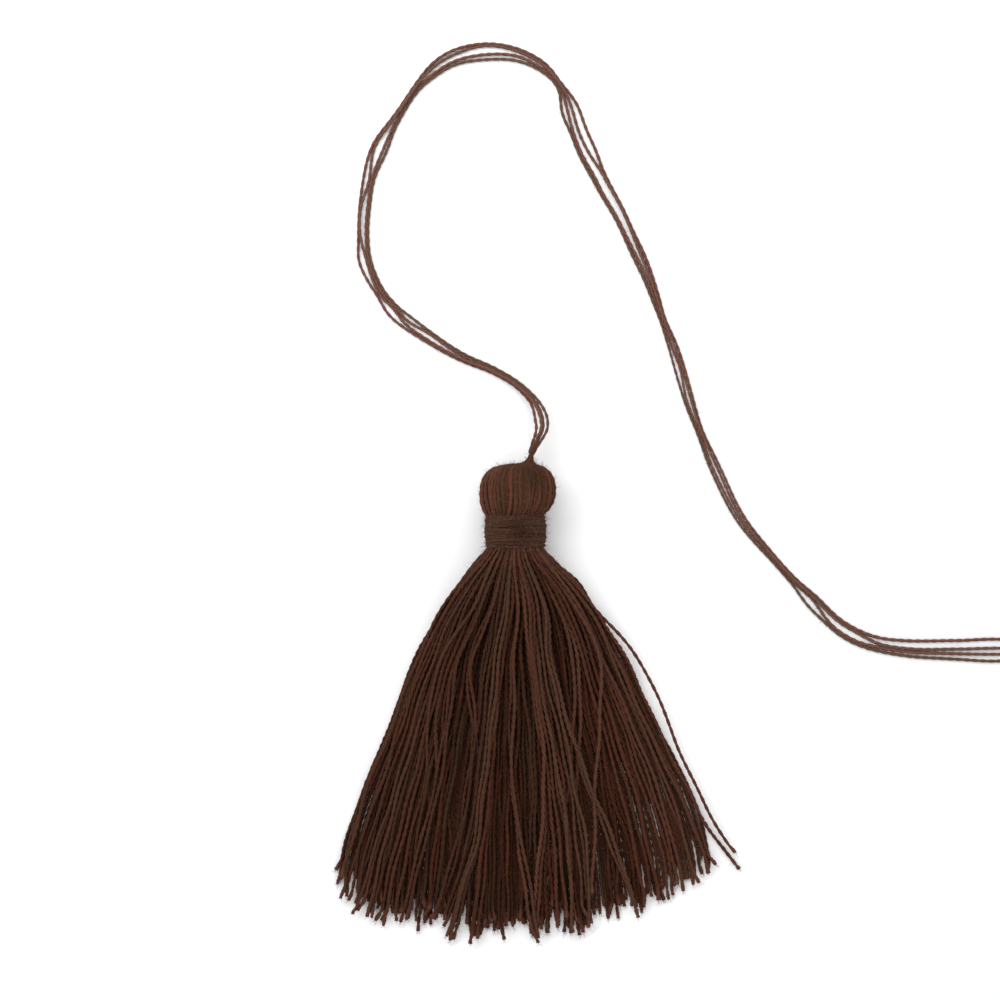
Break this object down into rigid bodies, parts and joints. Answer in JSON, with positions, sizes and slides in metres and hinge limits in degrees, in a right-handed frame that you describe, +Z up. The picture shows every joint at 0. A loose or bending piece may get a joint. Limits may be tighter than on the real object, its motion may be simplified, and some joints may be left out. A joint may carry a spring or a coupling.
{
  "type": "tassel",
  "caption": "Small cotton yarn tassel lying flat, with a rounded head, a bound neck, a spread skirt of loose strands and a long hanging cord.",
  "frame": {"origin": "middle of the tassel's footprint on the surface it lies on, without its cord", "axes": "+Y up the tassel towards its head, +X to its right, +Z up from the surface"},
  "size_m": [0.101, 0.1028, 0.0082],
  "materials": {
    "tassel_yarn": "dark brown plied cotton, matt with a few fine hairs",
    "binding_thread": "very dark brown thread, wound close",
    "cord_yarn": "warm brown plied cotton, slightly mottled"
  },
  "bodies": {
    "root": {"head_and_skirt": "tassel_yarn", "neck_binding": "binding_thread", "hanging_cord": "cord_yarn", "cord_coil": "cord_yarn", "coil_tie": "cord_yarn", "end_knot": "cord_yarn"}
  },
  "joints": []
}
